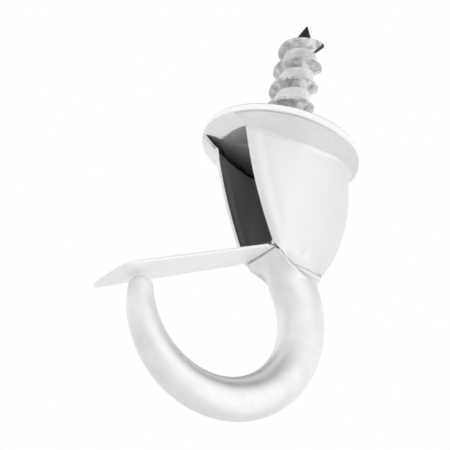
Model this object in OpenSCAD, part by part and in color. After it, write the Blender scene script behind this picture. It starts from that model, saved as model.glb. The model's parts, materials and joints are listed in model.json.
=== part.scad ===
// Safety hook to screw into a ceiling, with a sprung gate under a sheet hood. Millimetres.
// Origin: centre of the flange's top face. +Z runs up the screw, +X out of the hook's mouth.

/* [Screw] */
// Length of the screw above the flange
screw_length = 14.6; // [10:0.1:25]
// Radius of the screw's core, inside the thread
screw_core_r = 1.75; // [1.2:0.05:3]
// Length of the conical point
screw_point = 4; // [2:0.1:8]

/* [Flange] */
// Outer radius of the flange
flange_r = 8; // [7:0.1:12]
// Height of the flange's rim
flange_rim = 0.67; // [0.4:0.01:1.5]
// Radius of the flat part of the underside
flange_flat_r = 5.83; // [5:0.01:6.5]
// Depth of the flange in all
flange_depth = 1.1; // [0.8:0.05:2]

/* [Ring] */
// Radius of the ring's centreline
ring_r = 9.04; // [8:0.02:12]
// Centre of the ring in front of the screw's axis
ring_front = 2.67; // [1.5:0.01:4]
// Centre of the ring below the flange's top face
ring_drop = 20.02; // [19:0.01:24]
// Thickest radius of the ring's section
ring_wire_r = 2.32; // [1.8:0.02:2.6]
// Radius of the rounded tip
tip_r = 1.25; // [0.8:0.05:1.8]
// Angle of the tip, above the level of the ring's centre
tip_angle = -9.4; // [-20:0.1:0]
// Angle where the ring's back ends in the neck
ring_end_angle = 147; // [140:0.5:155]

/* [Neck] */
// Waist of the neck above the ring, behind the screw's axis
waist_back = 4.35; // [4:0.05:4.6]
// Waist below the lowest place of the hood's bottom edge
waist_below = 0.75; // [0.5:0.05:1]
// Half depth of the waist
waist_deep = 2.6; // [2.2:0.05:2.7]
// Half width of the waist
waist_wide = 2.25; // [2:0.05:2.4]
// Heading of the waist's section
waist_angle = 163; // [155:1:175]
// Front of the collar that plugs the hood, behind the screw's axis
collar_setback = 0.6; // [0.5:0.05:0.9]
// Bevel of the collar's lower front edge
collar_bevel = 0.3; // [0.2:0.05:0.4]
// How far the collar stands in from the hood's outer face
collar_inset = 0.05; // [0.03:0.01:0.1]
// Clearance between collar and hood
neck_clear = 0.03; // [0.02:0.01:0.08]
// Clearance between the collar's sill and the gate above it
sill_clear = 0.2; // [0.1:0.01:0.3]
// Front of the column behind the hinge, behind the screw's axis
column_setback = 2.4; // [2.2:0.05:2.6]
// Half depth of the column
column_deep = 1.75; // [1.5:0.05:1.9]
// Half width of the column
column_wide = 1.9; // [1.6:0.05:2]
// Level where the column turns forward to the flange
column_turn_drop = 9.2; // [8.5:0.1:9.5]
// Head of the column under the flange, behind the screw's axis
head_back = 0.4; // [0:0.05:1]
// Radius of the column's head
head_r = 2.3; // [1.8:0.05:2.5]
// Thickness of each hinge lug
lug_width = 0.5; // [0.4:0.05:0.6]
// Radius of the lugs round the pin
lug_r = 0.85; // [0.7:0.05:0.95]

/* [Hood] */
// Thickness of the hood's sheet
hood_sheet = 0.3; // [0.25:0.05:0.35]
// Level of the hood's side walls at their top, below the flange's top face
hood_top_drop = 1.9; // [1.7:0.05:2.5]
// Lowest level of the closed form, below the lowest place of the bottom edge
hood_below = 0.25; // [0.15:0.05:0.5]
// Half width of the hood at the top of its walls
hood_top_half = 5.15; // [4.8:0.05:5.5]
// Half width of the side walls carried down to the lowest level
hood_bottom_half = 3.2; // [3:0.05:3.5]
// Turn of each side wall towards the neck at the lowest level
hood_pinch = 1.1; // [0.9:0.05:1.2]
// Widest place of the hood at its top, behind the screw's axis
hood_top_middle = 0.07; // [0:0.01:0.3]
// Widest place of the hood at its lowest level
hood_bottom_middle = 0.63; // [0.4:0.01:0.8]
// Back of the hood at its top
hood_top_back = 7.4; // [7:0.05:7.6]
// Back of the hood at its lowest level
hood_bottom_back = 6.5; // [6.2:0.05:6.8]
// Swell of the hood's back at half its height
hood_back_swell = 1.4; // [1.2:0.05:1.6]
// Half width of the hood along its front edges
hood_front_half = 3.05; // [2.95:0.05:3.15]
// Least reach of the closed form in front of its widest place
hood_front_least = 0.8; // [0.7:0.05:0.9]
// Upper end of the slanting front edge, in front of the screw's axis
front_top = 5.75; // [5.5:0.05:5.9]
// Level of the upper end of the front edge
front_top_drop = 1.7; // [1.5:0.05:2.5]
// Level where the front edge meets the screw's axis
front_foot_drop = 12.55; // [12.5:0.05:12.65]
// Bow of the front edge between its ends
front_bow = 0.46; // [0.2:0.01:0.5]
// Round of the hood's lower front corner
front_corner_r = 1.5; // [1:0.1:2]
// Lowest place of the bottom edge, behind the screw's axis
heel_setback = 2.3; // [2:0.1:3]
// Level of the bottom edge at its lowest place
heel_drop = 13.25; // [13.1:0.05:13.35]
// Rise of the bottom edge from its lowest place to the front
bottom_front_slope = 18; // [14:1:22]
// Rise of the bottom edge from its lowest place to the back
bottom_back_slope = 7; // [4:1:10]
// Where the bottom edge turns up to the back, behind the screw's axis
back_heel_setback = 5.5; // [5.2:0.1:5.8]
// Rise of the bottom edge at the back
bottom_rise_slope = 23; // [15:1:25]
// Step from the flange's rim in to the edge of the flare
flare_inset = 0.02; // [0.01:0.01:0.2]
// Slope of the flare
flare_slope = 18.5; // [16:0.5:22]
// Half width of the slot in the flare
flare_slot_half = 2.9; // [2.5:0.05:3.5]
// Gap between flare and flange at the rim
flare_gap = 0.02; // [0.01:0.01:0.2]
// Stake mark on each side wall, behind the screw's axis
stake_setback = 3.45; // [3:0.05:4]
// Level of the stake marks
stake_drop = 12; // [11:0.05:13]
// Radius of a stake mark
stake_r = 0.3; // [0.2:0.02:0.5]
// Depth of a stake mark
stake_depth = 0.2; // [0.1:0.02:0.3]

/* [Gate] */
// Thickness of the gate's sheet
gate_sheet = 0.3; // [0.25:0.05:0.4]
// Half width of the gate at its shoulders
gate_root_half = 3; // [2.6:0.05:3.4]
// Half width of the gate at its free end
gate_end_half = 3.75; // [3:0.05:5]
// Reach of the gate past the tip of the hook
gate_overhang = 3.4; // [1:0.1:6]
// Rise of the gate's curved end
gate_end_bow = 0.45; // [0.2:0.05:1]
// Corner radius of the gate's free end
gate_corner_r = 0.8; // [0.4:0.05:1.5]
// Shoulders of the gate, in front of the pin along the leaf
gate_shoulder = 2.55; // [2.45:0.05:3]
// Half width of the gate's neck, which enters the hood
gate_neck_half = 2.6; // [2.4:0.05:2.6]
// Back of the gate's neck, in front of the pin along the leaf
gate_neck_from = 1.15; // [1.1:0.05:1.3]
// Gap between the gate and the tip of the hook
gate_rest_gap = 0.3; // [0.2:0.02:0.6]

/* [Hinge] */
// Radius of the hinge pin
pin_r = 0.35; // [0.25:0.01:0.45]
// Pin behind the hood's front edge, square to the edge
pin_setback = 1.83; // [1.75:0.01:1.9]
// Pin above the foot of the hood's front edge, along the edge
pin_rise = 0.68; // [0.6:0.01:0.8]
// Running clearance of the gate on the pin
pin_clear = 0.05; // [0.02:0.01:0.08]
// Clearance of the pin in the lugs
pin_seat_clear = 0.02; // [0.01:0.01:0.04]
// Half width of the gate's tongue between the lugs
tongue_half = 1.45; // [1.35:0.05:1.5]
// Side play of the tongue between the lugs
tongue_play = 0.2; // [0.1:0.02:0.4]
// Half width of the window for the spring
spring_half = 0.95; // [0.85:0.05:1.1]
// Radius of the spring's wire
spring_wire_r = 0.13; // [0.08:0.01:0.16]
// Play of the coil round the pin
spring_play = 0.07; // [0.04:0.01:0.12]
// Turns of the coil
spring_turns = 4; // [3:1:5]
// Length of the spring's front leg on the gate
spring_leg = 3.2; // [2.5:0.1:6]

/* [Hidden] */
$fn = 64;
// One overrun serves all cuts
overrun = 2;
// Sides of the bar's section and steps along the ring's arc
ring_sides = 36;
ring_steps = 44;
tip_steps = 5;
waist_steps = 4;
// Points on the hood's outline and levels along its height
hood_sides = 64;
hood_levels = 16;
// Steps along the bowed front edge
front_steps = 12;
// Sides of the spring's wire and steps on each turn
wire_sides = 8;
turn_steps = 16;
// Growth of the ring's section from the tip (0) to full (1), along the arc
taper_shares = [[0, 0], [0.1, 0.3], [0.25, 0.56], [0.4, 0.76], [0.55, 0.92], [0.7, 1], [1, 1]];
// Slot cut back from the pin, as a share of the knuckle's radius
window_share = 1.6;

// Squareness of the hood's outline: 2 is an oval, more is squarer
hood_top_square = 2.43;
hood_bottom_square = 2.2;
// Run of the walls from the widest place to the front edge: 1 is straight, more is a bow
hood_front_power = 1.3;
// The closed form carried on past the front edge
front_run_share = 1.6;
// Place on the hood's height where its sides begin to turn towards the neck
pinch_from_share = 0.86;
// Where the spring's back leg leaves the coil
back_leg_angle = 50;

full_turn = 360;
quarter = 90;
tip_steps_span = 78;
arc_from = tip_angle;
arc_to = ring_end_angle - full_turn;
ring_axis = [ring_front, -ring_drop];
tip_at = ring_axis + ring_r * [cos(tip_angle), sin(tip_angle)];

front_foot_at = [0, -front_foot_drop];
front_lean = atan2(front_foot_drop - front_top_drop, front_top);
front_along = [cos(front_lean), sin(front_lean)];
front_out = [sin(front_lean), -cos(front_lean)];
pin_at = front_foot_at + pin_rise * front_along - pin_setback * front_out;

knuckle_r = pin_r + pin_clear + gate_sheet;
to_tip = tip_at - pin_at;
gate_slope = atan2(to_tip[1], to_tip[0]) + asin((knuckle_r + tip_r + gate_rest_gap) / norm(to_tip));
gate_length = sqrt(pow(norm(to_tip), 2) - pow(knuckle_r + tip_r + gate_rest_gap, 2)) + gate_overhang;
gate_top = -pin_r - pin_clear;
heel = [-heel_setback, -heel_drop];
back_heel = heel + (back_heel_setback - heel_setback) * [-1, tan(bottom_back_slope)];
sill_drop = (knuckle_r + sill_clear) / cos(gate_slope) - pin_at[1]
    + (pin_at[0] + collar_setback) * tan(gate_slope);
hood_drop = heel_drop + hood_below;

lug_inner = tongue_half + tongue_play;
lug_outer = lug_inner + lug_width;
waist = [-waist_back, -heel_drop - waist_below];
ring_end = ring_axis + ring_r * [cos(ring_end_angle), sin(ring_end_angle)];
column_at = -column_setback - column_deep;
flare_r = flange_r - flare_inset;
flare_t = hood_sheet / cos(flare_slope);
flare_top = flange_rim + flare_gap;

function mix(a, b, t) = a + (b - a) * t;
function unit(v) = v / norm(v);

// A solid through a row of outlines that all have the same number of points
module skin(rows) {
    n = len(rows[0]);
    m = len(rows);
    side = [
        for (i = [0 : m - 2], k = [0 : n - 1])
            let (a = i * n + k, b = i * n + (k + 1) % n)
            each [[a, b, a + n], [b, b + n, a + n]]
    ];
    ends = [
        [for (k = [0 : n - 1]) n - 1 - k],
        [for (k = [0 : n - 1]) (m - 1) * n + k]
    ];
    polyhedron(points = [for (r = rows) each r], faces = concat(side, ends));
}

// One oval section of the bar, square to its run
function bar_section(at, angle, deep, wide) = [
    for (k = [0 : ring_sides - 1])
        let (q = full_turn * k / ring_sides, reach = deep * cos(q))
        [at[0] + reach * cos(angle), wide * sin(q), at[1] + reach * sin(angle)]
];

function ring_section(at, angle, r) = bar_section(at, angle, r, r);

function ring_wire(f) = mix(tip_r, ring_wire_r, lookup(f, taper_shares));

// A point on the smooth run from the ring's end (f = 0) to the waist (f = 1)
function waist_point(f) =
    let (
        span = norm(waist - ring_end),
        start = span * [sin(ring_end_angle), -cos(ring_end_angle)],
        finish = span * [sin(waist_angle), -cos(waist_angle)],
        g = 1 - f
    )
    (1 + 2 * f) * g * g * ring_end + f * g * g * start
        + f * f * (3 - 2 * f) * waist - f * f * g * finish;

// One row round the collar, which follows the hood's bottom edge: the hood's outline grown by g, cut
// straight in front, and lifted off the edge
function collar_section(g, lift, setback) = [
    for (k = [0 : ring_sides - 1])
        let (
            q = 2 * quarter - full_turn * k / ring_sides,
            behind = cos(q) < 0,
            edge = bottom_edge(min(behind ? hood_point(hood_share(heel_drop), g, q)[0] : 0, -setback)),
            t = hood_share(-edge),
            p = behind ? hood_point(t, g, q) : [0, (hood_half(t) + g) * sin(q)]
        )
        [min(p[0], -setback), p[1], edge + lift]
];

// The bar of the hook in one run: rounded tip, tapered ring, waist, collar, column up into the flange
module bar() {
    tip_out = [-sin(tip_angle), cos(tip_angle)];
    level = 2 * quarter;
    plug_inset = -hood_sheet - neck_clear;
    nose = [
        for (j = [tip_steps : -1 : 1])
            let (q = tip_steps_span * j / tip_steps)
            ring_section(tip_at + tip_r * sin(q) * tip_out, tip_angle, tip_r * cos(q))
    ];
    arc = [
        for (i = [0 : ring_steps])
            let (f = i / ring_steps, angle = mix(arc_from, arc_to, f))
            ring_section(ring_axis + ring_r * [cos(angle), sin(angle)], angle, ring_wire(f))
    ];
    neck = [
        for (i = [1 : waist_steps])
            let (f = i / waist_steps)
            bar_section(
                waist_point(f),
                mix(ring_end_angle, waist_angle, f),
                mix(ring_wire_r, waist_deep, f),
                mix(ring_wire_r, waist_wide, f)
            )
    ];
    collar = [
        collar_section(-collar_inset, -neck_clear - collar_bevel, collar_setback + collar_bevel),
        collar_section(-collar_inset, -neck_clear, collar_setback),
        collar_section(plug_inset, -neck_clear, collar_setback + neck_clear),
        collar_section(plug_inset, -sill_drop - bottom_edge(-collar_setback), collar_setback + neck_clear)
    ];
    column = [
        bar_section([column_at, -sill_drop], level, column_deep, column_wide),
        bar_section([column_at, -column_turn_drop], level, column_deep, column_wide),
        bar_section([-head_back, -flange_rim], level, head_r, head_r)
    ];
    skin(concat(nose, arc, neck, collar, column));
}

// Two ears on the collar's sill that carry the hinge pin
module lugs() {
    for (s = [-1, 1])
        translate([0, s * (lug_inner + lug_width / 2), 0])
            rotate([quarter, 0, 0])
                linear_extrude(lug_width, center = true)
                    difference() {
                        union() {
                            translate(pin_at) circle(lug_r);
                            translate([-column_setback - lug_width, -sill_drop - lug_width])
                                square([
                                    pin_at[0] + column_setback + lug_width,
                                    pin_at[1] + sill_drop + lug_width + lug_r
                                ]);
                        }
                        translate(pin_at) circle(pin_r + pin_seat_clear);
                    }
}

module flange() {
    rotate_extrude()
        polygon([
            [0, 0],
            [flange_r, 0],
            [flange_r, -flange_rim],
            [flange_flat_r, -flange_depth],
            [0, -flange_depth]
        ]);
}

module screw() {
    translate([0, 0, -flange_rim])
        cylinder(h = screw_length - screw_point + flange_rim, r = screw_core_r);
    translate([0, 0, screw_length - screw_point])
        cylinder(h = screw_point, r1 = screw_core_r, r2 = 0);
}

module hook() {
    color([0.82, 0.83, 0.84]) {
        screw();
        flange();
        lugs();
        bar();
    }
}

function hood_share(drop) = (drop - hood_top_drop) / (hood_drop - hood_top_drop);

function hood_half(t) =
    mix(hood_top_half, hood_bottom_half, t)
        - hood_pinch * pow(max(0, (t - pinch_from_share) / (1 - pinch_from_share)), 2);

function hood_middle(t) = mix(hood_top_middle, hood_bottom_middle, t);

function hood_back(t) = mix(hood_top_back, hood_bottom_back, t) + 4 * hood_back_swell * t * (1 - t);

function hood_square(t) = mix(hood_top_square, hood_bottom_square, t);

// The bowed front edge in side view, at a level below the flange's top face
function front_edge(drop) =
    let (f = (front_foot_drop - drop) / (front_foot_drop - front_top_drop))
    front_top * f + 4 * front_bow * f * (1 - f);

// A point on the hood's closed outline at share t of its height, grown by g, at heading q: half an oval
// behind the widest place, and in front of it two walls that run in to the front edges and past them
function hood_point(t, g, q) =
    let (
        middle = hood_middle(t),
        half = hood_half(t),
        power = 2 / hood_square(t),
        reach = max(front_edge(mix(hood_top_drop, hood_drop, t)) + middle, hood_front_least),
        run = front_run_share * max(cos(q), 0),
        side = half - (half - hood_front_half) * pow(run, hood_front_power) + g
    )
    cos(q) > 0
        ? [reach * run - middle, sign(sin(q)) * side * min(1, abs(tan(q)))]
        : [
            -(hood_back(t) - middle + g) * pow(abs(cos(q)), power) - middle,
            sign(sin(q)) * (half + g) * pow(abs(sin(q)), power)
        ];

function hood_level(t, g) = [for (k = [0 : hood_sides - 1]) hood_point(t, g, full_turn * k / hood_sides)];

function raise(outline, z) = [for (p = outline) [p[0], p[1], z]];

module hood_form(g, above, below) {
    levels = [
        for (i = [0 : hood_levels])
            let (t = i / hood_levels)
            raise(hood_level(t, g), -mix(hood_top_drop, hood_drop, t))
    ];
    skin(concat(
        [raise(hood_level(0, g), above - hood_top_drop)],
        levels,
        below > 0 ? [raise(hood_level(1, g), -hood_drop - below)] : []
    ));
}

// The hood's bottom edge in side view: down from the front, then up to the back in two runs
function bottom_edge(x) = max(
    heel[1] + (x - heel[0]) * tan(bottom_front_slope),
    heel[1] - (x - heel[0]) * tan(bottom_back_slope),
    back_heel[1] - (x - back_heel[0]) * tan(bottom_rise_slope)
);

// The hood in side view: behind its bowed front edge and above its bottom edge, corner rounded
module hood_side() {
    reach = hood_drop + overrun;
    rotate([quarter, 0, 0])
        linear_extrude(2 * reach, center = true)
            offset(r = front_corner_r)
                offset(delta = -front_corner_r)
                    intersection() {
                        polygon(concat(
                            [[-reach, reach], [-reach, -hood_drop]],
                            [
                                for (i = [front_steps : -1 : 0])
                                    let (drop = hood_drop * i / front_steps)
                                    [front_edge(drop), -drop]
                            ],
                            [[front_edge(0), reach]]
                        ));
                        polygon(concat(
                            [for (x = [reach, heel[0], back_heel[0], -reach]) [x, bottom_edge(x)]],
                            [[-reach, reach], [reach, reach]]
                        ));
                    }
}

// The solid above a cone that starts at the flare's edge
module above_flare(drop) {
    rotate_extrude()
        polygon([
            [0, overrun],
            [flare_r + overrun, overrun],
            [flare_r + overrun, overrun * tan(flare_slope) - drop],
            [0, -drop - flare_r * tan(flare_slope)]
        ]);
}

module flare() {
    difference() {
        intersection() {
            above_flare(flare_top + flare_t);
            translate([0, 0, -hood_drop])
                cylinder(h = hood_drop, r = flare_r);
        }
        translate([0, -flare_slot_half, -hood_drop])
            cube([flare_r + overrun, 2 * flare_slot_half, hood_drop + overrun]);
    }
}

module hood() {
    stake_t = hood_share(stake_drop);
    stake_across = (stake_setback - hood_middle(stake_t)) / (hood_back(stake_t) - hood_middle(stake_t));
    stake_half = hood_half(stake_t)
        * pow(1 - pow(stake_across, hood_square(stake_t)), 1 / hood_square(stake_t));
    color([0.86, 0.87, 0.88])
        difference() {
            union() {
                intersection() {
                    hood_form(0, hood_top_drop - flare_top, 0);
                    hood_side();
                }
                flare();
            }
            above_flare(flare_top);
            hood_form(-hood_sheet, hood_top_drop + overrun, overrun);
            for (s = [-1, 1])
                translate([-stake_setback, s * (stake_half + stake_r - stake_depth), -stake_drop])
                    sphere(stake_r);
        }
}

// Carries a shape from the leaf's own frame (along, across, up from the pin) into place
module on_gate() {
    translate([pin_at[0], 0, pin_at[1]])
        rotate([0, -gate_slope, 0])
            children();
}

module leaf_outline() {
    straight = gate_length - gate_end_bow;
    bow_r = (pow(gate_end_half, 2) + pow(gate_end_bow, 2)) / (2 * gate_end_bow);
    intersection() {
        polygon([
            [gate_neck_from, -gate_neck_half],
            [gate_shoulder, -gate_neck_half],
            [gate_shoulder, -gate_root_half],
            [straight - gate_corner_r, -gate_end_half],
            [gate_length, -gate_end_half],
            [gate_length, gate_end_half],
            [straight - gate_corner_r, gate_end_half],
            [gate_shoulder, gate_root_half],
            [gate_shoulder, gate_neck_half],
            [gate_neck_from, gate_neck_half]
        ]);
        translate([gate_length - bow_r, 0]) circle(bow_r, $fn = 256);
        union() {
            translate([0, -gate_end_half - overrun])
                square([straight - gate_corner_r, 2 * (gate_end_half + overrun)]);
            translate([0, gate_corner_r - gate_end_half])
                square([gate_length, 2 * (gate_end_half - gate_corner_r)]);
            for (s = [-1, 1])
                translate([straight - gate_corner_r, s * (gate_end_half - gate_corner_r)])
                    circle(gate_corner_r);
        }
    }
}

module gate() {
    window = window_share * knuckle_r;
    color([0.9, 0.9, 0.91])
        on_gate()
            difference() {
                union() {
                    translate([0, 0, -knuckle_r])
                        linear_extrude(gate_sheet) {
                            leaf_outline();
                            translate([0, -tongue_half])
                                square([gate_neck_from + gate_sheet, 2 * tongue_half]);
                        }
                    rotate([quarter, 0, 0])
                        cylinder(h = 2 * tongue_half, r = knuckle_r, center = true);
                }
                rotate([quarter, 0, 0])
                    cylinder(h = 2 * tongue_half + overrun, r = pin_r + pin_clear, center = true);
                translate([-window, -spring_half, -window])
                    cube([2 * window, 2 * spring_half, 2 * window]);
            }
}

module hinge_pin() {
    color([0.7, 0.7, 0.72])
        translate([pin_at[0], 0, pin_at[1]])
            rotate([quarter, 0, 0])
                cylinder(h = 2 * lug_outer, r = pin_r, center = true);
}

// The spring's wire: front leg on the gate, coil round the pin, back leg against the neck column
coil_r = pin_r + spring_play + spring_wire_r;
coil_end = full_turn * spring_turns + back_leg_angle;
coil_half = spring_half - 2 * spring_wire_r;
leg_at = [spring_leg * cos(gate_slope), spring_leg * sin(gate_slope)]
    + (gate_top + spring_wire_r + pin_seat_clear) * [-sin(gate_slope), cos(gate_slope)];
back_leg = (pin_at[0] + coil_r * cos(coil_end) + column_setback - spring_wire_r - pin_seat_clear)
    / sin(coil_end);

function coil_point(q) =
    let (f = (q - quarter) / (coil_end - quarter))
    [coil_r * cos(q), mix(-coil_half, coil_half, f), coil_r * sin(q)];

spring_path = concat(
    [[leg_at[0], -coil_half, leg_at[1]]],
    [for (i = [0 : turn_steps * spring_turns])
        coil_point(mix(quarter, coil_end, i / (turn_steps * spring_turns)))],
    [coil_point(coil_end) + back_leg * [-sin(coil_end), 0, cos(coil_end)]]
);

function path_heading(i) =
    unit(spring_path[min(i + 1, len(spring_path) - 1)] - spring_path[max(i - 1, 0)]);

function wire_section(i) =
    let (
        t = path_heading(i),
        a = unit([0, 1, 0] - t[1] * t),
        b = cross(a, t)
    )
    [
        for (k = [0 : wire_sides - 1])
            let (q = full_turn * k / wire_sides)
            spring_path[i] + spring_wire_r * (cos(q) * a + sin(q) * b)
    ];

module gate_spring() {
    color([0.6, 0.61, 0.63])
        translate([pin_at[0], 0, pin_at[1]])
            skin([for (i = [0 : len(spring_path) - 1]) wire_section(i)]);
}

hook();
hood();
gate();
hinge_pin();
gate_spring();
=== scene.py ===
import json
import math

import bmesh
import bpy
from mathutils import Matrix, Vector


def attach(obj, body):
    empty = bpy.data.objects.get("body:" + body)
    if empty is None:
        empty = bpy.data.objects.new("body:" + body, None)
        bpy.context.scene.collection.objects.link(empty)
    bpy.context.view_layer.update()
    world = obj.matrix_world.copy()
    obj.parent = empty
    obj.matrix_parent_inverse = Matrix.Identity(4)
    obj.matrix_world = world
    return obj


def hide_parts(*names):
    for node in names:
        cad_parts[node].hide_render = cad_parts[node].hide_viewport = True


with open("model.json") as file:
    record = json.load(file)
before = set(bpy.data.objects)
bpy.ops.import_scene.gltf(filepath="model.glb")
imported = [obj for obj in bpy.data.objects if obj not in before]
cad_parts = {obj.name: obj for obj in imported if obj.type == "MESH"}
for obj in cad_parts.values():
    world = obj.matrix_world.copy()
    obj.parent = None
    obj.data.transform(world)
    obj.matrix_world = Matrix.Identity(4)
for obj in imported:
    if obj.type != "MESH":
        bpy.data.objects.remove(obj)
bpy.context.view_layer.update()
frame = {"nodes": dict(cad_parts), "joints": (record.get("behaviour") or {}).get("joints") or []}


# The hook is one casting, plated bright: a screw, a round flange that seats on the wood, a neck that leans
# back under the hood, and a ring that thins out to a rounded tip. Its form is the solid's own, with the
# facets smoothed, the flange's edges eased and the sill under the gate's root brought up to the leaf.
mm = 0.001
smooth_angle = math.radians(38)
flat_angle = math.radians(0.2)
crease_angle = math.radians(5)
seam = 0.001
flange_inner_r = 5.7
flange_depth = 1.12
flange_reach = 1.2
flange_side_from, flange_side_to = 0.3, 0.9
flange_edge = 0.07
facing_down = 0.995
dark_point_from = 11.7
painted_shade_to = 12.05
sill_at = Vector((-0.63, 0, -12.57))
sill_r = 0.07
sill_dress = Vector((0.33, 0, 0.01))


def plated(
    name,
    colour,
    roughness,
    metallic=0.8,
    roughness_spread=0.15,
    cloud=0.04,
    cloud_size=3,
    patchy=0,
    grain=0,
    grain_size=0.4,
):
    """Plating with clouds or patches in its tone and, where it was left rough, a fine grain."""
    material = bpy.data.materials.new(name)
    material.use_nodes = True
    nodes = material.node_tree.nodes
    links = material.node_tree.links
    shader = nodes["Principled BSDF"]
    shader.inputs["Metallic"].default_value = metallic
    place = nodes.new("ShaderNodeTexCoord")
    clouds = nodes.new("ShaderNodeTexNoise")
    clouds.inputs["Scale"].default_value = 1 / (cloud_size * mm)
    clouds.inputs["Detail"].default_value = 3
    links.new(place.outputs["Object"], clouds.inputs["Vector"])
    patches = nodes.new("ShaderNodeMapRange")
    patches.inputs["From Min"].default_value = patchy / 2
    patches.inputs["From Max"].default_value = 1 - patchy / 2
    links.new(clouds.outputs["Fac"], patches.inputs["Value"])
    tone = nodes.new("ShaderNodeMix")
    tone.data_type = "RGBA"
    fac, dark, bright = (tone.inputs[i] for i in (0, 6, 7))
    dark.default_value = [c * (1 - cloud) for c in colour] + [1]
    bright.default_value = [min(c * (1 + cloud), 1) for c in colour] + [1]
    links.new(patches.outputs["Result"], fac)
    links.new(tone.outputs[2], shader.inputs["Base Color"])
    rough = nodes.new("ShaderNodeMapRange")
    rough.inputs["To Min"].default_value = roughness * (1 - roughness_spread)
    rough.inputs["To Max"].default_value = roughness * (1 + roughness_spread)
    links.new(clouds.outputs["Fac"], rough.inputs["Value"])
    links.new(rough.outputs["Result"], shader.inputs["Roughness"])
    if grain:
        pits = nodes.new("ShaderNodeTexNoise")
        pits.inputs["Scale"].default_value = 1 / (grain_size * mm)
        pits.inputs["Detail"].default_value = 2
        links.new(place.outputs["Object"], pits.inputs["Vector"])
        bump = nodes.new("ShaderNodeBump")
        bump.inputs["Strength"].default_value = 1
        bump.inputs["Distance"].default_value = grain * mm
        links.new(pits.outputs["Fac"], bump.inputs["Height"])
        links.new(bump.outputs["Normal"], shader.inputs["Normal"])
    return material


def finish_piece(bm, name, *materials):
    """Makes a mesh piece of what was modelled, smooth except at its sharp edges."""
    mesh = bpy.data.meshes.new(name)
    bm.to_mesh(mesh)
    bm.free()
    mesh.shade_smooth()
    mesh.set_sharp_from_angle(angle=smooth_angle)
    for material in materials:
        mesh.materials.append(material)
    piece = bpy.data.objects.new(name, mesh)
    bpy.context.scene.collection.objects.link(piece)
    return piece


def on_flange(edge):
    """Whether an edge runs round the flange's rim, above or below, where the casting was eased."""
    a, b = (v.co / mm for v in edge.verts)
    level_ring = abs(a.z - b.z) < seam and abs(a.xy.length - b.xy.length) < seam
    outside = min(a.xy.length, b.xy.length) > flange_inner_r and min(a.z, b.z) > -flange_reach
    on_side = -flange_side_to < a.z < -flange_side_from
    return level_ring and outside and not on_side and edge.calc_face_angle(0) > crease_angle


casting = bmesh.new()
casting.from_mesh(frame["nodes"]["hook"].data)
bmesh.ops.remove_doubles(casting, verts=casting.verts, dist=seam * mm)
bmesh.ops.dissolve_limit(casting, angle_limit=flat_angle, verts=casting.verts, edges=casting.edges)
bmesh.ops.bisect_plane(
    casting,
    geom=casting.verts[:] + casting.edges[:] + casting.faces[:],
    plane_co=(0, 0, dark_point_from * mm),
    plane_no=(0, 0, 1),
)
for v in casting.verts:
    if (Vector((v.co.x, 0, v.co.z)) / mm - sill_at).length < sill_r:
        v.co += sill_dress * mm
bmesh.ops.bevel(
    casting,
    geom=[e for e in casting.edges if on_flange(e)],
    offset=flange_edge * mm,
    affect="EDGES",
    segments=2,
    profile=0.5,
    material=-1,
)
ring_part, rim_part, screw_part, dark_point_part, flat_part, painted_shade_part = range(6)
for face in casting.faces:
    level = face.calc_center_median().z / mm
    # Above this level the point gets the near-black painted reflection.
    if level > dark_point_from:
        face.material_index = dark_point_part
    elif level > flange_edge:
        face.material_index = screw_part
    elif level > -flange_depth:
        face.material_index = flat_part if -face.normal.z > facing_down else rim_part
    # The neck's faces down inside the hood get the dark grey painted shade.
    elif level > -painted_shade_to:
        face.material_index = painted_shade_part
    else:
        face.material_index = ring_part
plating = plated("satin plating", (0.885, 0.89, 0.9), roughness=0.42, cloud=0.1, cloud_size=1.5)
polished = plated("polished flange", (0.96, 0.965, 0.975), roughness=0.15)
core_finish = plated(
    "bright core of the screw",
    (0.93, 0.935, 0.945),
    roughness=0.25,
    metallic=0.4,
    cloud=0.2,
    cloud_size=0.7,
    patchy=0.5,
)
# The point is painted near black as a painted dark reflection; the thread's very end gets the same colour.
painted_dark_screw_end = plated("painted dark screw end", (0.07, 0.072, 0.075), roughness=0.5)
dull_flat = plated("dull flat under the flange", (0.95, 0.96, 0.98), roughness=0.35)
# The hollow inside the hood is painted dark grey: painted shade, standing in for the shade and dark
# reflections there.
painted_shade_inside = plated("painted shade inside the hood", (0.27, 0.28, 0.285), roughness=0.7, metallic=0.2)
hook = finish_piece(
    casting, "hook_casting", plating, polished, core_finish, painted_dark_screw_end, dull_flat, painted_shade_inside
)
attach(hook, "body")
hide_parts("hook")


# The wood-screw thread is cut on the screw's core: a right-handed ridge, steep above and longer below, that
# keeps its height for most of the screw and ends short of the point; its very end is painted near black.
thread_pitch = 2.4
thread_crest_r = 2.43
thread_root_r = 1
thread_foot_below, thread_foot_above = 1.35, 0.6
thread_crest = 0.15
thread_start = -0.85
thread_turns = 5.363
thread_turn_steps = 48
thread_sunk = 0.3
taper_from = 8
thread_taper = 0.05
dark_end_turn = math.radians(14)

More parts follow.
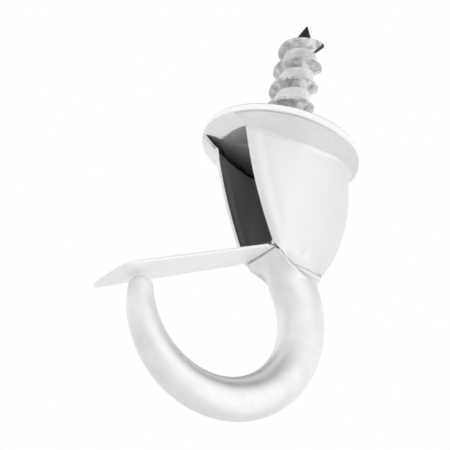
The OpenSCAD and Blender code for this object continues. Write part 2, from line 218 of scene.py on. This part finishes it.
thread = bmesh.new()
ridge = [
    thread.verts.new((thread_root_r, 0, thread_start - thread_foot_below)),
    thread.verts.new((thread_crest_r, 0, thread_start - thread_crest)),
    thread.verts.new((thread_crest_r, 0, thread_start + thread_crest)),
    thread.verts.new((thread_root_r, 0, thread_start + thread_foot_above)),
]
ridge_face = thread.faces.new(ridge)
bmesh.ops.spin(
    thread,
    geom=[ridge_face] + list(ridge_face.edges) + ridge,
    cent=(0, 0, 0),
    axis=(0, 0, 1),
    dvec=(0, 0, thread_pitch / thread_turn_steps),
    angle=2 * math.pi * thread_turns,
    steps=round(thread_turns * thread_turn_steps),
)
thread_end = thread_start + thread_turns * thread_pitch
for v in thread.verts:
    shrink = 1 - thread_taper * max(0, (v.co.z - taper_from) / (thread_end - taper_from))
    v.co.x *= shrink
    v.co.y *= shrink
bmesh.ops.bisect_plane(
    thread,
    geom=thread.verts[:] + thread.edges[:] + thread.faces[:],
    plane_co=(0, 0, -thread_sunk),
    plane_no=(0, 0, -1),
    clear_outer=True,
)
bmesh.ops.recalc_face_normals(thread, faces=thread.faces)
plated_part, dark_end_part = range(2)
for face in thread.faces:
    middle = face.calc_center_median()
    short_of_end = (2 * math.pi * thread_turns - math.atan2(middle.y, middle.x)) % (2 * math.pi)
    at_end = short_of_end < dark_end_turn and middle.z > thread_end - thread_pitch / 2
    face.material_index = dark_end_part if at_end else plated_part
bmesh.ops.scale(thread, vec=(mm, mm, mm), verts=thread.verts)
# The thread's plating is darker than the core's: painted shade on its flanks, with patches of random tone
# on top.
shaded_thread_finish = plated(
    "patchy plating of the thread with painted shade",
    (0.57, 0.58, 0.6),
    roughness=0.25,
    cloud=0.45,
    cloud_size=0.6,
    patchy=0.55,
)
screw_thread = finish_piece(thread, "screw_thread", shaded_thread_finish, painted_dark_screw_end)
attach(screw_thread, "body")


# The hood is pressed from sheet: walls that wrap round the neck and narrow downwards, open in front along a
# slanting edge, and a flare at the top that is clenched under the flange. Its foot is turned in against the
# neck and staked there on both sides. Its inside is painted dark grey as painted shade.
sheet = 0.3
hood_top = 1.9
hood_bottom = 13.5
top_half, bottom_half = 5.15, 3.2
pinch = 1.1
pinch_from = 0.86
top_middle, bottom_middle = 0.07, 0.63
top_back, bottom_back = 7.4, 6.5
back_swell = 1.4
front_half = 3.2
front_least = 0.8
front_power = 1.3
front_run = 1.6
top_square, bottom_square = 2.43, 2.2
hood_sides = 240
hood_levels = 56
wall_from = 0.03
flare_r = 7.98
flare_drop = 0.62
flare_slope = math.radians(21)
flare_slot_half = 3.12
far_spring, far_spring_reach = 0.35, 1.3
far_spring_drop = 2 * hood_top
front_foot_drop = 12.55
front_top, front_top_drop = 5.75, 1.7
front_bow = 0.46
front_cuts = 14
front_corner_r = 1.5
corner_cuts = 6
heel = Vector((-2.3, 0, -13.25))
bottom_front_slope = math.radians(18)
bottom_back_slope = math.radians(7)
back_heel_setback = 5.5
bottom_rise_slope = math.radians(23)
foot_lap = Vector((0, 0, -0.15))
lip_width, lip_depth = 0.8, 0.2
groove_at, groove_width, groove_depth = 1.25, 0.45, 0.08
bend_r = 0.3
bend_margin = 1.3
hood_edge = 0.05
sharp_angle = math.radians(50)
sliver = 0.001
stake_at = Vector((-3.45, 0, -12))
stake_r = 0.34
stake_depth = 0.14

flare_under = flare_drop + sheet / math.cos(flare_slope)


def mix(a, b, share):
    """The value a given share of the way from a to b."""
    return a + (b - a) * share


def front_edge(level):
    """How far forward the hood's bowed front edge stands at a level."""
    rise = (front_foot_drop + level) / (front_foot_drop - front_top_drop)
    return front_top * rise + 4 * front_bow * rise * (1 - rise)


def hood_outline(share, heading):
    """A place on the hood's closed outline: an oval behind, and walls that run in past the front edges."""
    middle = mix(top_middle, bottom_middle, share)
    turn_in = max(0, (share - pinch_from) / (1 - pinch_from))
    half = mix(top_half, bottom_half, share) - pinch * turn_in**2
    ahead, aside = math.cos(heading), math.sin(heading)
    if ahead > 0:
        reach = max(front_edge(-mix(hood_top, hood_bottom, share)) + middle, front_least)
        across = half - (half - front_half) * (front_run * ahead) ** front_power
        sideways = math.copysign(across, aside) * min(1, abs(aside / ahead))
        return reach * front_run * ahead - middle, sideways
    back = mix(top_back, bottom_back, share) + 4 * back_swell * share * (1 - share) - middle
    power = 2 / mix(top_square, bottom_square, share)
    return -back * abs(ahead) ** power - middle, math.copysign(half * abs(aside) ** power, aside)


def hood_place(heading, down):
    """A place on the hood's wall, from the bend under the flare (down 0) to the lowest level (down 1)."""
    flare_width = flare_r - math.hypot(*hood_outline(0, heading))
    bend_level = -flare_under - flare_width * math.tan(flare_slope)
    level = mix(bend_level, -hood_bottom, down)
    share = max(0, (-level - hood_top) / (hood_bottom - hood_top))
    return Vector((*hood_outline(share, heading), level))


def cut_faces(bm, part, plane_co, plane_no):
    """Splits the faces of one part of the sheet along a plane."""
    faces = [f for f in bm.faces if f.material_index == part]
    edges = dict.fromkeys(e for f in faces for e in f.edges)
    verts = dict.fromkeys(v for f in faces for v in f.verts)
    bmesh.ops.bisect_plane(bm, geom=[*verts, *edges, *faces], plane_co=plane_co, plane_no=plane_no)


# A part's number is that of its outer finish; the next two are its inside and its cut edge.
wall_part, flare_part = 0, 3
walls = bmesh.new()
top_ring = bmesh.ops.create_circle(
    walls, segments=hood_sides, radius=1, matrix=Matrix.Translation((0, 0, 1))
)
rim = set(top_ring["verts"])
wall_downs = [mix(wall_from, 1, i / (hood_levels - 1)) for i in range(hood_levels)]
loop = list(walls.edges)
# The rows are told apart by height at first: rim 1, a row beside the bend, bend 0, the wall down to -1.
for height in [0.5, 0] + [-down for down in wall_downs]:
    faces_before = set(walls.faces)
    spread = bmesh.ops.extrude_edge_only(walls, edges=loop)["geom"]
    loop = [g for g in spread if isinstance(g, bmesh.types.BMEdge)]
    for v in {v for e in loop for v in e.verts}:
        v.co.z = height
    for f in set(walls.faces) - faces_before:
        f.material_index = wall_part if height < 0 else flare_part
for v in walls.verts:
    heading = math.atan2(v.co.y, v.co.x)
    if v.co.z > 0:
        bend = hood_place(heading, 0)
        out = bend.xy.normalized() * flare_r
        edge = Vector((out.x, out.y, -flare_under))
        v.co = edge if v in rim else bend + (edge - bend).normalized() * bend_margin * bend_r
    else:
        v.co = hood_place(heading, -v.co.z)
# The front edge has a soft lip with a groove beside it, the foot has stake marks, and the far flare springs
# a little off the flange.
front_lean = math.atan2(front_foot_drop - front_top_drop, front_top)
for v in set(walls.verts) - rim:
    inside = (front_edge(v.co.z) - v.co.x) * math.sin(front_lean)
    lift = -lip_depth * max(0, 1 - max(inside, 0) / lip_width) ** 2
    lift -= groove_depth * math.exp(-(((inside - groove_at) / groove_width) ** 2))
    stake = Vector((v.co.x, 0, v.co.z)) - stake_at
    lift -= stake_depth * math.exp(-((stake.length / stake_r) ** 2))
    v.co += lift * Vector((v.co.x, 2 * v.co.y, 0)).normalized()
    if v.co.x > 0 > v.co.y and v.co.z > -far_spring_drop:
        beside_slot = math.exp(-(((v.co.y + flare_slot_half) / far_spring_reach) ** 2))
        sprung = beside_slot * (1 + v.co.z / far_spring_drop)
        v.co.z -= far_spring * min(1, flare_r - v.co.xy.length) * min(1, 2 * sprung)


def edge_cut(level):
    """A plane that touches the hood's bowed front edge, as a point and the way out of the sheet."""
    step = 0.01
    slope = (front_edge(level + step) - front_edge(level - step)) / (2 * step)
    return Vector((front_edge(level), 0, level)), Vector((1, 0, -slope)).normalized()


# The walls are trimmed along the front edge and the foot, with a round corner between the two.
back_heel = heel + (back_heel_setback + heel.x) * Vector((-1, 0, math.tan(bottom_back_slope)))
front_drops = [mix(front_top_drop, front_foot_drop, i / front_cuts) for i in range(front_cuts + 1)]
wall_cuts = [edge_cut(-drop) for drop in front_drops]
for point, slope in ((heel, bottom_back_slope), (back_heel, bottom_rise_slope)):
    wall_cuts.append((point + foot_lap, Vector((-math.sin(slope), 0, -math.cos(slope)))))
front_foot, foot_out = edge_cut(-front_foot_drop)
bottom_out = Vector((math.sin(bottom_front_slope), 0, -math.cos(bottom_front_slope)))
bottom_along = Vector((math.cos(bottom_front_slope), 0, math.sin(bottom_front_slope)))
toe = heel + bottom_along * (front_foot - heel).dot(foot_out) / bottom_along.dot(foot_out)
corner_at = toe - (foot_out + bottom_out) * front_corner_r / (1 + foot_out.dot(bottom_out))
for i in range(1, corner_cuts + 1):
    outwards = foot_out.slerp(bottom_out, i / corner_cuts)
    wall_cuts.append((corner_at + front_corner_r * outwards, outwards))
for point, outwards in wall_cuts:
    cut_faces(walls, wall_part, point, outwards)
    outside = [
        f
        for f in walls.faces
        if f.material_index == wall_part and (f.calc_center_median() - point).dot(outwards) > 0
    ]
    bmesh.ops.delete(walls, geom=outside, context="FACES")
# The flare stops at both sides of the open front.
for side in (-1, 1):
    cut_faces(walls, flare_part, (0, side * flare_slot_half, 0), (0, 1, 0))
in_slot = [
    f
    for f in walls.faces
    if f.material_index == flare_part
    and f.calc_center_median().x > 0
    and abs(f.calc_center_median().y) < flare_slot_half
]
bmesh.ops.delete(walls, geom=in_slot, context="FACES")
bmesh.ops.dissolve_degenerate(walls, edges=walls.edges, dist=sliver)
bmesh.ops.recalc_face_normals(walls, faces=walls.faces)
backmost = min(walls.faces, key=lambda f: f.calc_center_median().x)
if backmost.normal.x > 0:
    bmesh.ops.reverse_faces(walls, faces=walls.faces)
bends = [
    e
    for e in walls.edges
    if len(e.link_faces) == 2 and e.link_faces[0].material_index != e.link_faces[1].material_index
]
bmesh.ops.bevel(
    walls, geom=bends, offset=bend_r, affect="EDGES", segments=4, profile=0.5, material=-1
)
bmesh.ops.scale(walls, vec=(mm, mm, mm), verts=walls.verts)
hood_plating = plated("hood plating", (0.835, 0.84, 0.85), roughness=0.42)
hood_cut = plated("cut edge of the sheet", (0.88, 0.885, 0.895), roughness=0.35)
flare_plating = plated(
    "grained flare", (0.9, 0.905, 0.915), roughness=0.3, cloud=0.08, cloud_size=0.6, grain=0.04
)
# The flare's upper side, in the gap under the flange, is painted near black: painted shade.
painted_shade_over_flare = plated("painted shade in the gap above the flare", (0.05, 0.05, 0.055), roughness=0.6)
# The walls' inside faces get the dark grey painted shade.
wall_finishes = (hood_plating, painted_shade_inside, hood_cut)
flare_finishes = (flare_plating, painted_shade_over_flare, hood_cut)
hood = finish_piece(walls, "hood_sheet", *wall_finishes, *flare_finishes)
thickness = hood.modifiers.new("sheet", "SOLIDIFY")
thickness.thickness = sheet * mm
thickness.offset = -1
thickness.use_even_offset = False
thickness.material_offset = 1
thickness.material_offset_rim = 2
edges = hood.modifiers.new("edges", "BEVEL")
edges.width = hood_edge * mm
edges.segments = 2
edges.limit_method = "ANGLE"
edges.angle_limit = sharp_angle
edges.harden_normals = True
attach(hood, "body")
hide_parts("hood")


# The gate is a flat leaf of plated sheet, wider towards its bowed end, with two knuckles rolled round the
# hinge pin at its root. It rests on the tip of the ring.
gate_joint = frame["joints"][0]
pin_at = Vector(gate_joint["pos_m"]) / mm
gate_sheet = 0.3
pin_r = 0.35
pin_clear = 0.05
knuckle_r = pin_r + pin_clear + gate_sheet
ring_at = Vector((2.67, 0, -20.02))
ring_r = 9.04
tip_turn = math.radians(-9.4)
tip_r = 1.25
rest_gap = 0.3
gate_overhang = 3.4
shoulder = 2.55
neck_half = 2.6
neck_from = 1.15
root_half = 3
end_half = 3.75
end_bow = 0.45
end_points = 9
end_corner_r = 0.8
tongue_half = 1.45
window_half = 0.95
window_depth = 1.12
gate_edge = 0.05
knuckle_steps = 40
touch = 0.00001

tip_at = ring_at + ring_r * Vector((math.cos(tip_turn), 0, math.sin(tip_turn)))
to_tip = tip_at - pin_at
lift = knuckle_r + tip_r + rest_gap
gate_slope = math.atan2(to_tip.z, to_tip.x) + math.asin(lift / to_tip.length)
gate_length = math.sqrt(to_tip.length**2 - lift**2) + gate_overhang
gate_place = Matrix.Scale(mm, 4) @ Matrix.Translation(pin_at) @ Matrix.Rotation(-gate_slope, 4, "Y")

leaf = bmesh.new()
end_side = gate_length - end_bow
half_outline = [
    (window_depth, window_half),
    (0, window_half),
    (0, tongue_half),
    (neck_from, tongue_half),
    (neck_from, neck_half),
    (shoulder, neck_half),
    (shoulder, root_half),
    (end_side, end_half),
]
end_outline = []
for i in range(1, end_points):
    across = mix(end_half, -end_half, i / end_points)
    end_outline.append((gate_length - end_bow * (across / end_half) ** 2, across))
leaf_points = half_outline + end_outline + [(x, -y) for x, y in reversed(half_outline)]
leaf_verts = [leaf.verts.new((x, y, -knuckle_r)) for x, y in leaf_points]
leaf.faces.new(leaf_verts)
end_corners = [v for v in leaf_verts if abs(abs(v.co.y) - end_half) < touch]
bmesh.ops.bevel(
    leaf, geom=end_corners, offset=end_corner_r, affect="VERTICES", segments=6, profile=0.5, material=-1
)
raised = bmesh.ops.extrude_face_region(leaf, geom=leaf.faces[:])["geom"]
leaf_top = [g for g in raised if isinstance(g, bmesh.types.BMVert)]
bmesh.ops.translate(leaf, vec=(0, 0, gate_sheet), verts=leaf_top)
bmesh.ops.recalc_face_normals(leaf, faces=leaf.faces)
leaf_edges = [e for e in leaf.edges if e.calc_face_angle(0) > sharp_angle]
bmesh.ops.bevel(
    leaf, geom=leaf_edges, offset=gate_edge, affect="EDGES", segments=2, profile=0.5, material=-1
)
for side in (-1, 1):
    corners = [
        leaf.verts.new((0, side * y, -r))
        for y, r in (
            (window_half, knuckle_r - gate_sheet),
            (tongue_half, knuckle_r - gate_sheet),
            (tongue_half, knuckle_r),
            (window_half, knuckle_r),
        )
    ]
    loop = [leaf.edges.new((corners[i], corners[(i + 1) % 4])) for i in range(4)]
    bmesh.ops.spin(
        leaf,
        geom=corners + loop,
        cent=(0, 0, 0),
        axis=(0, 1, 0),
        angle=2 * math.pi,
        steps=knuckle_steps,
        use_merge=True,
    )
bmesh.ops.remove_doubles(leaf, verts=leaf.verts, dist=touch)
bmesh.ops.recalc_face_normals(leaf, faces=leaf.faces)
bmesh.ops.transform(leaf, matrix=gate_place, verts=leaf.verts)
leaf_plating = plated("bright leaf", (0.985, 0.985, 0.99), roughness=0.5, metallic=0.6, cloud=0.01)
gate = finish_piece(leaf, "gate_leaf", leaf_plating)
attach(gate, "gate")
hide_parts("gate")


# The hinge pin is a short length of drawn steel wire, pressed into the two lugs of the casting with its
# ends flush. The gate's knuckles and the spring turn on it.
lug_outer = 2.15
pin_edge = 0.06
pin_sides = 40
wire = bmesh.new()
bmesh.ops.create_cone(
    wire,
    cap_ends=True,
    segments=pin_sides,
    radius1=pin_r,
    radius2=pin_r,
    depth=2 * lug_outer,
    matrix=Matrix.Translation(pin_at) @ Matrix.Rotation(math.pi / 2, 4, "X"),
)
pin_ends = [e for e in wire.edges if e.calc_face_angle(0) > sharp_angle]
bmesh.ops.bevel(
    wire, geom=pin_ends, offset=pin_edge, affect="EDGES", segments=2, profile=0.5, material=-1
)
bmesh.ops.scale(wire, vec=(mm, mm, mm), verts=wire.verts)
pin_steel = plated("drawn steel", (0.4, 0.41, 0.43), roughness=0.45)
hinge_pin = finish_piece(wire, "hinge_pin_wire", pin_steel)
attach(hinge_pin, "body")
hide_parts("hinge_pin")


# The spring is wound from drawn wire round the pin, between the knuckles, and oiled. Its back leg bears on
# the column of the casting and stays put with the coil; its front leg lies on the leaf and swings with it.
wire_r = 0.13
wire_sides = 12
coil_play = 0.07
coil_turns = 4
coil_turn_steps = 28
coil_half = 0.69
back_leg_turn = math.radians(50)
front_leg = 3.2
leg_lift = 0.02
column_setback = 2.4
coil_r = pin_r + coil_play + wire_r


def straight_wire(bm, start, end):
    """A straight length of the spring's wire between two places."""
    run = end - start
    place = Matrix.Translation((start + end) / 2) @ run.to_track_quat("Z", "Y").to_matrix().to_4x4()
    bmesh.ops.create_cone(
        bm,
        cap_ends=True,
        segments=wire_sides,
        radius1=wire_r,
        radius2=wire_r,
        depth=run.length,
        matrix=place,
    )


coil = bmesh.new()
coil_start = Vector((0, -coil_half, coil_r))
section = bmesh.ops.create_circle(
    coil,
    segments=wire_sides,
    radius=wire_r,
    matrix=Matrix.Translation(coil_start) @ Matrix.Rotation(math.pi / 2, 4, "Y"),
)["verts"]
coil_angle = 2 * math.pi * coil_turns - (math.pi / 2 - back_leg_turn)
coil_steps = coil_turn_steps * coil_turns
bmesh.ops.spin(
    coil,
    geom=section + coil.edges[:],
    cent=(0, 0, 0),
    axis=(0, -1, 0),
    dvec=(0, 2 * coil_half / coil_steps, 0),
    angle=coil_angle,
    steps=coil_steps,
)
coil_end = Vector((coil_r * math.cos(back_leg_turn), coil_half, coil_r * math.sin(back_leg_turn)))
back_leg = (pin_at.x + coil_end.x + column_setback - wire_r - leg_lift) / math.sin(back_leg_turn)
leg_way = Vector((-math.sin(back_leg_turn), 0, math.cos(back_leg_turn)))
straight_wire(coil, coil_end, coil_end + back_leg * leg_way)
bmesh.ops.recalc_face_normals(coil, faces=coil.faces)
spring_place = Matrix.Scale(mm, 4) @ Matrix.Translation(pin_at)
bmesh.ops.transform(coil, matrix=spring_place, verts=coil.verts)
spring_steel = plated("oiled spring wire", (0.16, 0.163, 0.17), roughness=0.5)
spring_coil = finish_piece(coil, "spring_coil", spring_steel)
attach(spring_coil, "body")
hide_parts("gate_spring")

leg = bmesh.new()
leg_height = wire_r + leg_lift - pin_r - pin_clear
leg_foot = Matrix.Rotation(-gate_slope, 3, "Y") @ Vector((front_leg, -coil_half, leg_height))
straight_wire(leg, coil_start, leg_foot)
bmesh.ops.transform(leg, matrix=spring_place, verts=leg.verts)
spring_leg = finish_piece(leg, "spring_front_leg", spring_steel)
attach(spring_leg, "gate")


# The scene: a plain pale floor far below, white surroundings that turn grey overhead, two soft lamps on the
# side of the camera, and the camera where the photograph was taken from, below the hook and to its front.
floor_level = -350
floor_half = 4000
room_light = 0.85
ceiling_from, ceiling_full = math.radians(38), math.radians(55)
ceiling_grey = 0.12
white = (1, 1, 1, 1)

floor_bm = bmesh.new()
bmesh.ops.create_grid(
    floor_bm,
    x_segments=1,
    y_segments=1,
    size=floor_half * mm,
    matrix=Matrix.Translation((0, 0, floor_level * mm)),
)
floor_paint = bpy.data.materials.new("pale floor")
floor_paint.use_nodes = True
floor_shader = floor_paint.node_tree.nodes["Principled BSDF"]
floor_shader.inputs["Base Color"].default_value = (0.9, 0.9, 0.9, 1)
floor_shader.inputs["Roughness"].default_value = 0.8
floor = finish_piece(floor_bm, "floor", floor_paint)

# The room lights the hook evenly; what the camera and the plating's reflections see of it is white, and
# grey only overhead.
world = bpy.data.worlds.new("white room")
world.use_nodes = True
bpy.context.scene.world = world
sky = world.node_tree
shown = sky.nodes.new("ShaderNodeBackground")
shown.inputs["Color"].default_value = white
way = sky.nodes.new("ShaderNodeTexCoord")
way_up = sky.nodes.new("ShaderNodeSeparateXYZ")
ceiling = sky.nodes.new("ShaderNodeMapRange")
ceiling.inputs["From Min"].default_value = math.sin(ceiling_from)
ceiling.inputs["From Max"].default_value = math.sin(ceiling_full)
ceiling.inputs["To Min"].default_value = 1
ceiling.inputs["To Max"].default_value = ceiling_grey
sky.links.new(way.outputs["Generated"], way_up.inputs["Vector"])
sky.links.new(way_up.outputs["Z"], ceiling.inputs["Value"])
sky.links.new(ceiling.outputs["Result"], shown.inputs["Strength"])
light = sky.nodes["Background"]
light.inputs["Color"].default_value = white
light.inputs["Strength"].default_value = room_light
path = sky.nodes.new("ShaderNodeLightPath")
seen = sky.nodes.new("ShaderNodeMath")
seen.operation = "MAXIMUM"
seen_through = sky.nodes.new("ShaderNodeMath")
seen_through.operation = "MAXIMUM"
choose = sky.nodes.new("ShaderNodeMixShader")
sky.links.new(path.outputs["Is Camera Ray"], seen.inputs[0])
sky.links.new(path.outputs["Is Glossy Ray"], seen.inputs[1])
sky.links.new(seen.outputs[0], seen_through.inputs[0])
sky.links.new(path.outputs["Is Transmission Ray"], seen_through.inputs[1])
sky.links.new(seen_through.outputs[0], choose.inputs["Fac"])
sky.links.new(light.outputs[0], choose.inputs[1])
sky.links.new(shown.outputs[0], choose.inputs[2])
sky.links.new(choose.outputs[0], sky.nodes["World Output"].inputs["Surface"])

# The camera's direction, roll and scale, and the pixel at the origin, were fitted to the photograph.
camera_way = Vector((0.3835, 0.7777, -0.4982)).normalized()
camera_reach = 300
camera_roll = math.radians(11.95)
frame_px = 450
px_per_mm = 9.93
origin_px = Vector((281.72, 146.02))
sensor_mm = 36

camera_data = bpy.data.cameras.new("camera")
camera_data.sensor_width = sensor_mm
camera_data.lens = px_per_mm * camera_reach / frame_px * sensor_mm
camera_data.clip_start = 10 * mm
camera = bpy.data.objects.new("camera", camera_data)
bpy.context.scene.collection.objects.link(camera)
level_right = Vector((0, 0, 1)).cross(camera_way).normalized()
level_up = camera_way.cross(level_right)
lean_right = math.cos(camera_roll) * level_right + math.sin(camera_roll) * level_up
lean_up = math.cos(camera_roll) * level_up - math.sin(camera_roll) * level_right
off_centre = Vector((frame_px / 2, frame_px / 2)) - origin_px
aim = (lean_right * off_centre.x - lean_up * off_centre.y) / px_per_mm
camera_at = camera_way * camera_reach
back = (camera_at - aim).normalized()
right = lean_up.cross(back).normalized()
camera_turn = Matrix((right, back.cross(right), back)).transposed().to_4x4()
camera.matrix_world = Matrix.Translation(camera_at * mm) @ camera_turn
bpy.context.scene.camera = camera


def soft_lamp(name, width, power, way, reach):
    """A round soft lamp that faces the hook from one side."""
    glow = bpy.data.lights.new(name, "AREA")
    glow.shape = "DISK"
    glow.size = width * mm
    glow.energy = power
    lamp = bpy.data.objects.new(name, glow)
    bpy.context.scene.collection.objects.link(lamp)
    turn = way.to_track_quat("Z", "Y").to_matrix().to_4x4()
    lamp.matrix_world = Matrix.Translation(way.normalized() * reach * mm) @ turn


soft_lamp("soft key", width=800, power=0.35, way=Vector((-0.2, 0.85, -0.2)), reach=600)
soft_lamp("low fill", width=600, power=0.28, way=Vector((-0.5, 0.45, -0.7)), reach=400)

bpy.context.scene.view_settings.view_transform = "Standard"
